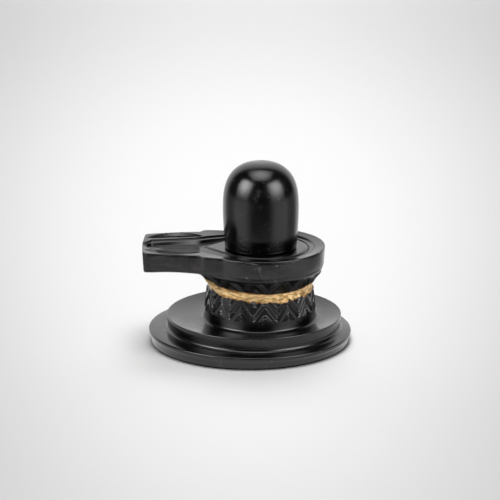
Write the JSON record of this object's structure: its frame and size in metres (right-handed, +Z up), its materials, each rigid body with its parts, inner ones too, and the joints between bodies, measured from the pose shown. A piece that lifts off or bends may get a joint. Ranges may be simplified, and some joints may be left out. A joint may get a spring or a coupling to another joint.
{
  "type": "shiva lingam",
  "caption": "Small household shiva lingam: a domed shaft in a spouted dish on a waisted drum carved with chevrons and a stepped round plinth, black with a gold band.",
  "frame": {"origin": "middle of the plinth's flat underside", "axes": "+Z up along the shaft; the dish's spout points to -X, and the dish, the drum and the shaft are symmetric across the XZ plane but for their carving"},
  "size_m": [0.0926, 0.09, 0.0812],
  "materials": {
    "black_base": "black satin paint over cast marble powder",
    "black_shaft": "black polished satin paint over cast marble powder",
    "gold_band": "hand-brushed metallic gold paint, ragged at its edges"
  },
  "bodies": {
    "root": {"lingam": "black_shaft", "yoni_base": "black_base"}
  },
  "joints": []
}
